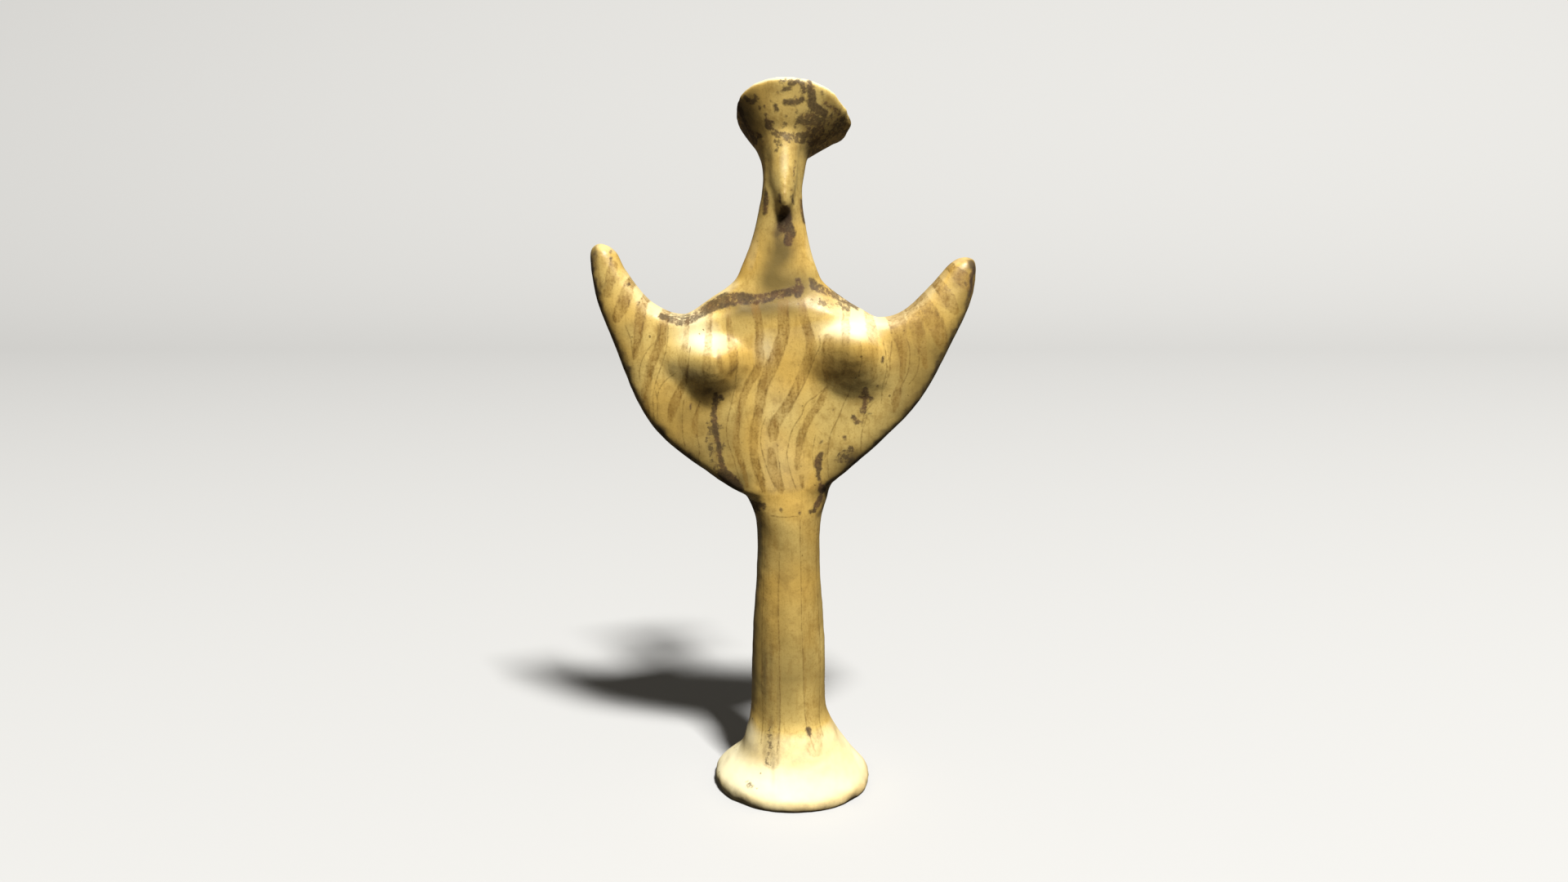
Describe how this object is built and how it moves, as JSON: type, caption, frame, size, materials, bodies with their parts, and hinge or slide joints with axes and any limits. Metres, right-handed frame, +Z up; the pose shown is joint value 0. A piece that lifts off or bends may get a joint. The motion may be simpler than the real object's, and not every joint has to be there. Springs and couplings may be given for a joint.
{
  "type": "terracotta figurine",
  "caption": "Standing Mycenaean psi-type clay figurine with raised arms, pinched face, flaring dished headdress and a spreading round base.",
  "frame": {"origin": "centre of the flat underside of the base", "axes": "+Z up to the headdress, -Y the way the face and breasts look, +X to the viewer's right when facing the figure"},
  "size_m": [0.0601, 0.0258, 0.1148],
  "materials": {
    "buff_clay": "smoothed buff slip with worn brown and dark painted stripes"
  },
  "bodies": {
    "root": {"figurine": "buff_clay"}
  },
  "joints": []
}
